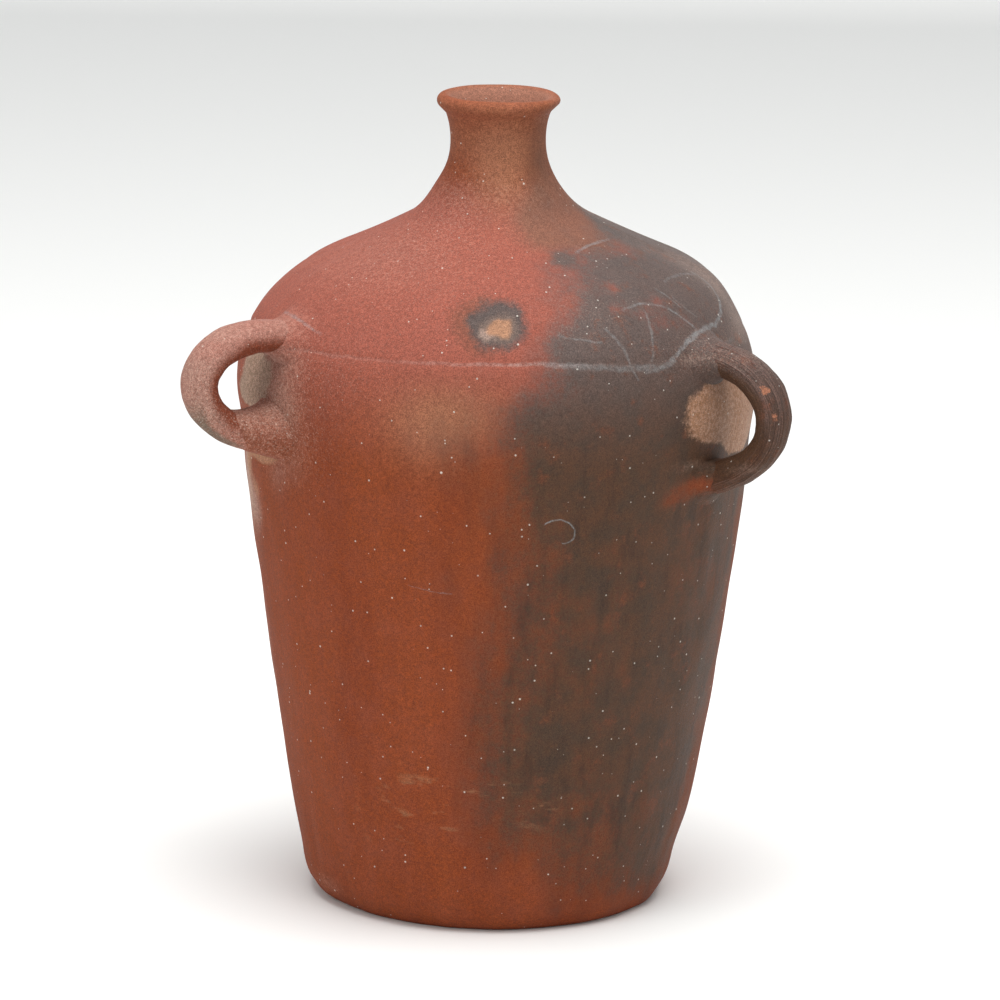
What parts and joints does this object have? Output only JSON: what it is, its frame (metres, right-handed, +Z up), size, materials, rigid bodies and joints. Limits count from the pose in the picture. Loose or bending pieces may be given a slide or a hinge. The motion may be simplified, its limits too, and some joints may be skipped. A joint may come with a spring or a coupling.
{
  "type": "amphora",
  "caption": "Hand-built clay storage jar: flat foot, tall bowed wall, domed shoulder, narrow flared neck with a rolled lip, and strap loops for lifting.",
  "frame": {"origin": "middle of the flat foot, on the jar's axis", "axes": "+Z up along the jar's axis; -Y to the front, midway between the two handles; +X towards the right handle's side"},
  "size_m": [0.3806, 0.3304, 0.5185],
  "materials": {
    "floor_clay": "bare fired clay, smoothed",
    "wall_clay": "burnished, clouded by the fire",
    "shoulder_clay": "burnished, clouded by the fire",
    "neck_clay": "smoothed, matt",
    "lip_clay": "smoothed, rubbed bare on top",
    "left_handle_clay": "wiped smooth, matt",
    "right_handle_clay": "smoked and chipped, matt",
    "luting_clay": "rough, matt"
  },
  "bodies": {
    "root": {"floor_slab": "floor_clay", "lower_wall": "wall_clay", "shoulder_dome": "shoulder_clay", "neck": "neck_clay", "lip_ring": "lip_clay", "left_handle": "left_handle_clay", "left_upper_root": "luting_clay", "left_lower_root": "luting_clay", "right_handle": "right_handle_clay", "right_upper_root": "luting_clay", "right_lower_root": "luting_clay"}
  },
  "joints": []
}
